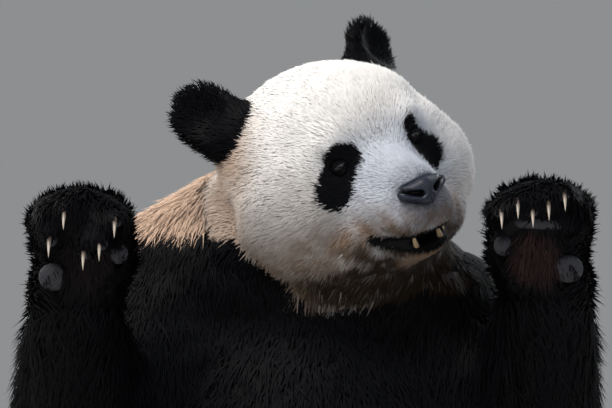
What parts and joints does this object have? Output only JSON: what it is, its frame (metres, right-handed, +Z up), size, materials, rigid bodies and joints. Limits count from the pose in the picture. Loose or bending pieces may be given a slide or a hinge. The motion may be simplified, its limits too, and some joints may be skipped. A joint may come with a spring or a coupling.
{
  "type": "giant panda",
  "caption": "Life-size giant panda sitting on its rump, hind legs forward, both forepaws raised beside the turned and tilted head.",
  "frame": {"origin": "middle of the flat of the rump, where the animal sits on the floor", "axes": "+Z up, +X to the animal's left, +Y to its back; the hind legs point along -Y"},
  "size_m": [0.7621, 0.8969, 0.9965],
  "materials": {
    "white_coat": "soft fur",
    "black_coat": "soft fur",
    "eye": "wet gloss",
    "nose_leather": "satin",
    "claw_horn": "satin",
    "tooth": "satin"
  },
  "bodies": {
    "root": {"head": "white_coat", "jaw": "white_coat", "neck": "white_coat", "trunk": "white_coat", "tail": "white_coat", "ear_left": "black_coat", "ear_right": "black_coat", "upper_arm_left": "black_coat", "upper_arm_right": "black_coat", "forearm_left": "black_coat", "forearm_right": "black_coat", "forepaw_left": "black_coat", "forepaw_right": "black_coat", "thigh_left": "black_coat", "thigh_right": "black_coat", "shank_left": "black_coat", "shank_right": "black_coat", "hind_paw_left": "black_coat", "hind_paw_right": "black_coat", "eye_left": "eye", "eye_right": "eye", "nose": "nose_leather", "canine_lower_left": "tooth", "canine_lower_right": "tooth", "canine_upper_left": "tooth", "canine_upper_right": "tooth", "claw_fore_left_1": "claw_horn", "claw_fore_left_2": "claw_horn", "claw_fore_left_3": "claw_horn", "claw_fore_left_4": "claw_horn", "claw_fore_left_5": "claw_horn", "claw_fore_right_1": "claw_horn", "claw_fore_right_2": "claw_horn", "claw_fore_right_3": "claw_horn", "claw_fore_right_4": "claw_horn", "claw_fore_right_5": "claw_horn", "claw_hind_left_1": "claw_horn", "claw_hind_left_2": "claw_horn", "claw_hind_left_3": "claw_horn", "claw_hind_left_4": "claw_horn", "claw_hind_left_5": "claw_horn", "claw_hind_right_1": "claw_horn", "claw_hind_right_2": "claw_horn", "claw_hind_right_3": "claw_horn", "claw_hind_right_4": "claw_horn", "claw_hind_right_5": "claw_horn"}
  },
  "joints": []
}
